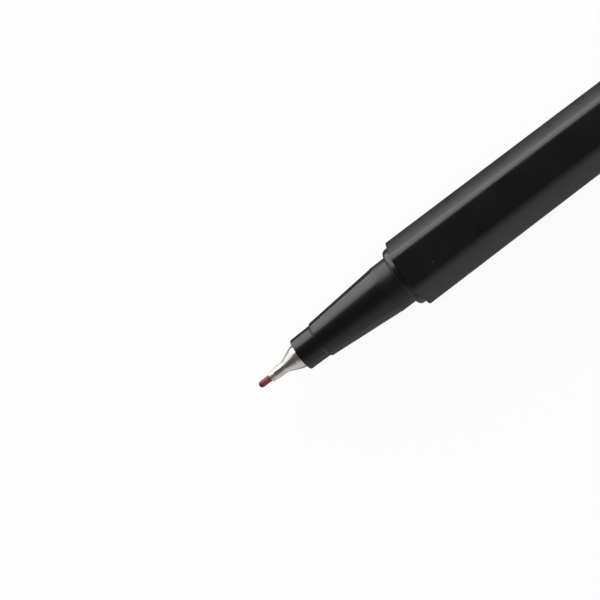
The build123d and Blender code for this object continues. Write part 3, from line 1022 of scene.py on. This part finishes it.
FLOOR_REACH = 6.0
FLOOR_GAP = 0.02 * MM
FLOOR_PAINT = (0.88, 0.88, 0.88, 1)
FLOOR_WHITE = 0.93
# How bright the floor is in reflections, with a painted shadow of the pen beside it: by millimetres across
# the pen, and ahead of its nose, where the painted shadow ends
FLOOR_PAINTED_SHADOW = ((-40, 0.46), (-22, 0.52), (-13, 0.66), (-10, 0.57), (-6, 0.28), (-3, 0.12), (40, 0.12))
FLOOR_AHEAD = 0.62
ahead_start = nose_front - 2 * MM
ahead_end = nose_front - 7 * MM
ROOM_DARK = 0.10
ROOM_SIDES = 0.47
# Where the light along both sides starts and is full: by bearing from the pen, and by rise from the table
SIDES_BEARING = (0.30, 0.75)
SIDES_RISE = (0.95, 0.30)
# Soft boxes beside the pen, dimmer ahead of it: name, front and rear end along the pen, and brightness
WINDOW = (
    ("window soft box", -0.36, 1.20, 2.75),
    ("window middle", -0.60, -0.36, 0.72),
    ("window front end", -1.60, -0.60, 0.60),
)
WINDOW_AWAY = 0.60
WINDOW_TALL = 0.60
STRIP = (
    ("table strip", -0.09, 0.80, 2.5),
    ("table strip front end", -0.80, -0.09, 0.52),
)
STRIP_START = 14.5 * MM
STRIP_WIDE = 0.58
STRIP_LEVEL = 0.5 * MM
OVERHEAD_HEIGHT = 1.0
OVERHEAD_SIZE = 0.9
OVERHEAD_RADIANCE = 2.0


def pale_floor():
    """A wide pale floor: white to the camera with the pen's soft shadow, and in reflections a glow darker
    than white, with a painted shadow of the pen beside it.
    """
    level = barrel_low.z - FLOOR_GAP
    corners = [(x * FLOOR_REACH, y * FLOOR_REACH, level) for x, y in ((-1, -1), (1, -1), (1, 1), (-1, 1))]
    mesh = bpy.data.meshes.new("floor")
    mesh.from_pydata(corners, [], [(0, 1, 2, 3)])
    floor = in_scene("floor", mesh)
    material = bpy.data.materials.new("pale_floor")
    material.use_nodes = True
    tree = material.node_tree
    tree.nodes.clear()
    rays = place(tree, "ShaderNodeLightPath").outputs
    mirrored = sums(tree, "MAXIMUM", rays["Is Glossy Ray"], rays["Is Transmission Ray"])
    white = sums(tree, "MULTIPLY_ADD", rays["Is Camera Ray"], FLOOR_WHITE, mirrored)
    spot = split(tree, object_spot(tree))
    first = FLOOR_PAINTED_SHADOW[0][0]
    span = FLOOR_PAINTED_SHADOW[-1][0] - first
    across = sums(tree, "DIVIDE", sums(tree, "SUBTRACT", spot["Y"], first * MM), span * MM)
    # Painted shadow: the floor's glow in reflections is darker close to the pen, standing in for the pen's
    # own shadow.
    dim = ramp(tree, across, [((y - first) / span, (shade,) * 3) for y, shade in FLOOR_PAINTED_SHADOW])
    # Ahead of the nose the painted shadow gives way to an even level.
    ahead = eased(tree, spot["X"], ahead_start, ahead_end)
    dim = blend(tree, ahead, dim, FLOOR_AHEAD, "FLOAT")
    strength = blend(tree, mirrored, 1.0, dim, "FLOAT")
    matte = place(tree, "ShaderNodeBsdfDiffuse", {"Color": FLOOR_PAINT})
    glow = place(tree, "ShaderNodeEmission", {"Color": (1, 1, 1, 1), "Strength": strength})
    mixed = place(tree, "ShaderNodeMixShader", {0: white, 1: matte.outputs[0], 2: glow.outputs[0]})
    place(tree, "ShaderNodeOutputMaterial", {"Surface": mixed.outputs[0]})
    mesh.materials.append(material)


def studio_room():
    """White to the camera, and otherwise a dark room with soft light along both sides of the pen."""
    world = bpy.data.worlds.new("studio")
    bpy.context.scene.world = world
    world.use_nodes = True
    tree = world.node_tree
    tree.nodes.clear()
    way = place(tree, "ShaderNodeTexCoord").outputs["Generated"]
    flat = place(tree, "ShaderNodeVectorMath", {0: way, 1: (1, 1, 0)}, operation="MULTIPLY").outputs[0]
    bearing = place(tree, "ShaderNodeVectorMath", {0: flat}, operation="NORMALIZE").outputs[0]
    sideways = eased(tree, sums(tree, "ABSOLUTE", split(tree, bearing)["Y"]), *SIDES_BEARING)
    low = eased(tree, split(tree, way)["Z"], *SIDES_RISE)
    beside_pen = sums(tree, "MULTIPLY", sideways, low)
    room = sums(tree, "MULTIPLY_ADD", beside_pen, ROOM_SIDES, ROOM_DARK)
    seen = place(tree, "ShaderNodeLightPath").outputs["Is Camera Ray"]
    level = blend(tree, seen, room, 1.0, "FLOAT")
    glow = place(tree, "ShaderNodeBackground", {"Color": (1, 1, 1, 1), "Strength": level})
    place(tree, "ShaderNodeOutputWorld", {"Surface": glow.outputs[0]})


def soft_lamp(name, spot, facing, width, height, radiance, mirrored=True, lit=True):
    """A soft box, given by how bright its face looks, that shows in reflections or lights what is matte."""
    light = bpy.data.lights.new(name, "AREA")
    light.shape = "RECTANGLE"
    light.size = width
    light.size_y = height
    light.energy = radiance * width * height * math.pi
    lamp = in_scene(name, light)
    turn = Vector(facing).to_track_quat("-Z", "Y").to_matrix().to_4x4()
    lamp.matrix_world = Matrix.Translation(Vector(spot)) @ turn
    lamp.visible_camera = False
    lamp.visible_glossy = mirrored
    lamp.visible_diffuse = lit


pale_floor()
studio_room()
for name, front, rear, radiance in WINDOW:
    middle = ((front + rear) / 2, WINDOW_AWAY, WINDOW_TALL / 2)
    soft_lamp(name, middle, (0, -1, 0), rear - front, WINDOW_TALL, radiance)
for name, front, rear, radiance in STRIP:
    middle = ((front + rear) / 2, STRIP_START + STRIP_WIDE / 2, STRIP_LEVEL)
    soft_lamp(name, middle, (0, 0, 1), rear - front, STRIP_WIDE, radiance, lit=False)
soft_lamp(
    "overhead", (0, 0, OVERHEAD_HEIGHT), (0, 0, -1), OVERHEAD_SIZE, OVERHEAD_SIZE, OVERHEAD_RADIANCE,
    mirrored=False,
)

# Camera: where the tip is in the picture, how steeply the pen rises in it, and how it is turned
PHOTO_PX = 600
PX_PER_METRE = 8.28 / MM
TIP_PX = (259.6, 386.05)
PEN_RISE = math.radians(37.33)
TIP_AWAY = math.radians(10.5)
PEN_ROLL = math.radians(6.4)
LENS = 300
SENSOR = 36

towards = Vector((
    math.sin(TIP_AWAY),
    -math.sin(PEN_ROLL) * math.cos(TIP_AWAY),
    math.cos(PEN_ROLL) * math.cos(TIP_AWAY),
))
along = (Vector((1, 0, 0)) - towards * towards.x).normalized()
beside = towards.cross(along)
right = along * math.cos(PEN_RISE) - beside * math.sin(PEN_RISE)
up = along * math.sin(PEN_RISE) + beside * math.cos(PEN_RISE)
to_right = (PHOTO_PX / 2 - TIP_PX[0]) / PX_PER_METRE
to_top = (TIP_PX[1] - PHOTO_PX / 2) / PX_PER_METRE
centre = Vector((tip_front, 0, axis_height)) + right * to_right + up * to_top
distance = PHOTO_PX / PX_PER_METRE * LENS / SENSOR
lens = bpy.data.cameras.new("camera")
lens.lens = LENS
lens.sensor_width = SENSOR
camera = in_scene("camera", lens)
turn = Matrix((right, up, towards)).transposed().to_4x4()
camera.matrix_world = Matrix.Translation(centre + towards * distance) @ turn
bpy.context.scene.camera = camera
bpy.context.scene.view_settings.view_transform = "Standard"
